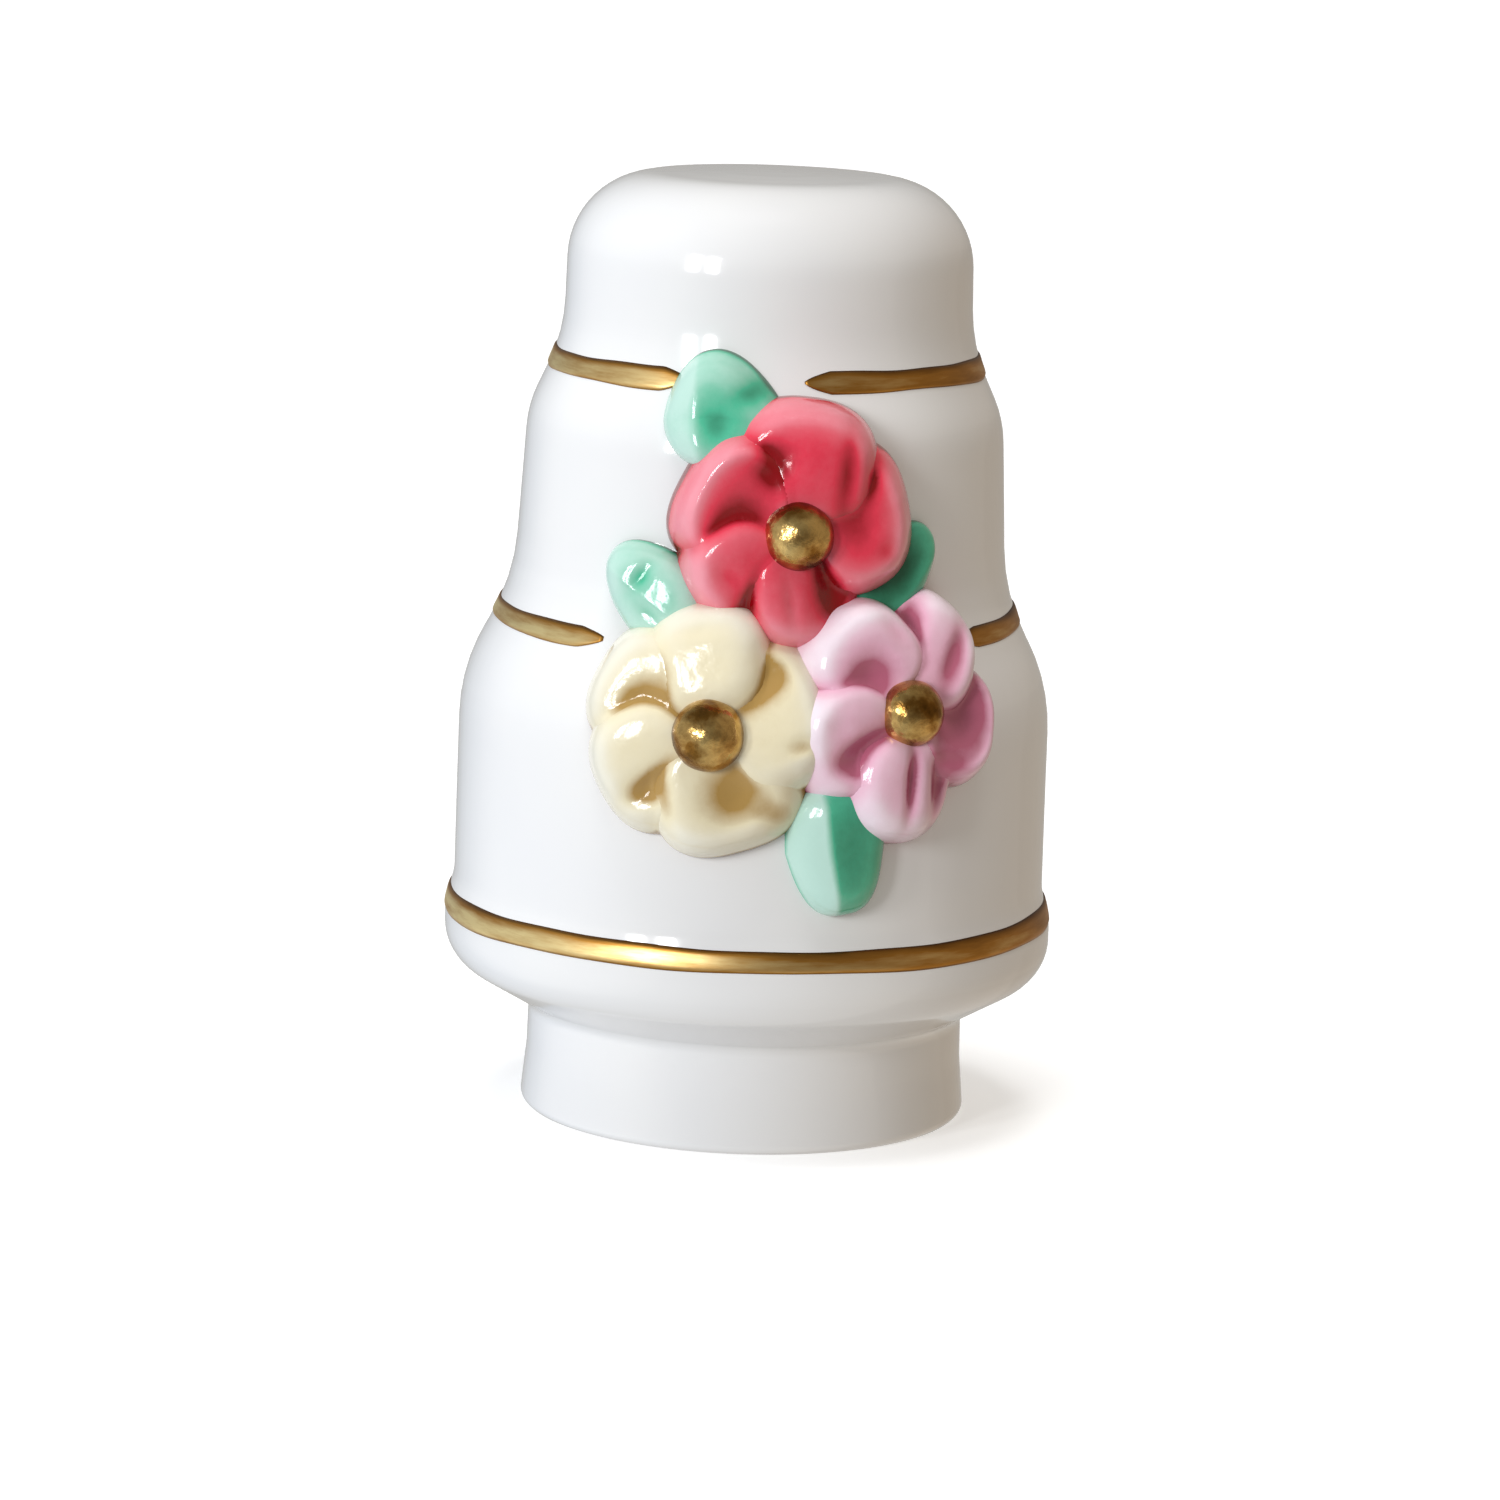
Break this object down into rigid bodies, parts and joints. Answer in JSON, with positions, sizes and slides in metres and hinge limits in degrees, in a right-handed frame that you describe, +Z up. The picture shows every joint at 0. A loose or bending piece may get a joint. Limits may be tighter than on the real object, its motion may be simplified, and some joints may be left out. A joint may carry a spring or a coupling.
{
  "type": "tiered cake ornament",
  "caption": "Glazed porcelain ornament shaped as a tiered cake on a foot, with applied flowers, leaves and gold bands, plugged by a rubber stopper into a dish rim.",
  "frame": {"origin": "centre of the foot's underside, on the stopper's axis", "axes": "+Z up along the cake's axis, -Y towards the front, where the coral flower is, +X to the right seen from the front"},
  "size_m": [0.032, 0.0342, 0.059],
  "materials": {
    "porcelain": "clear gloss glaze over white porcelain",
    "stopper_rubber": "translucent soft rubber, satin",
    "gold_lustre": "brushed-on fired gold lustre",
    "coral_glaze": "gloss coloured glaze, paler on raised edges",
    "cream_glaze": "gloss coloured glaze, darker in the hollows",
    "lilac_glaze": "gloss coloured glaze, darker in the hollows",
    "mint_glaze": "gloss coloured glaze, paler on raised edges"
  },
  "bodies": {
    "stopper": {"stopper": "stopper_rubber"},
    "ornament": {"cake_body": "porcelain", "upper_gold_band": "gold_lustre", "middle_gold_band": "gold_lustre", "lower_gold_band": "gold_lustre", "coral_bead": "gold_lustre", "cream_bead": "gold_lustre", "lilac_bead": "gold_lustre", "coral_petal_1": "coral_glaze", "coral_petal_2": "coral_glaze", "coral_petal_3": "coral_glaze", "coral_petal_4": "coral_glaze", "coral_petal_5": "coral_glaze", "cream_petal_1": "cream_glaze", "cream_petal_2": "cream_glaze", "cream_petal_3": "cream_glaze", "cream_petal_4": "cream_glaze", "cream_petal_5": "cream_glaze", "lilac_petal_1": "lilac_glaze", "lilac_petal_2": "lilac_glaze", "lilac_petal_3": "lilac_glaze", "lilac_petal_4": "lilac_glaze", "lilac_petal_5": "lilac_glaze", "top_leaf": "mint_glaze", "left_leaf": "mint_glaze", "right_leaf": "mint_glaze", "bottom_leaf": "mint_glaze"}
  },
  "joints": [
    {"name": "ornament_lift", "type": "slide", "parent": "stopper", "child": "ornament", "axis": [0, 0, 1], "range_m": [0, 0.008]}
  ]
}
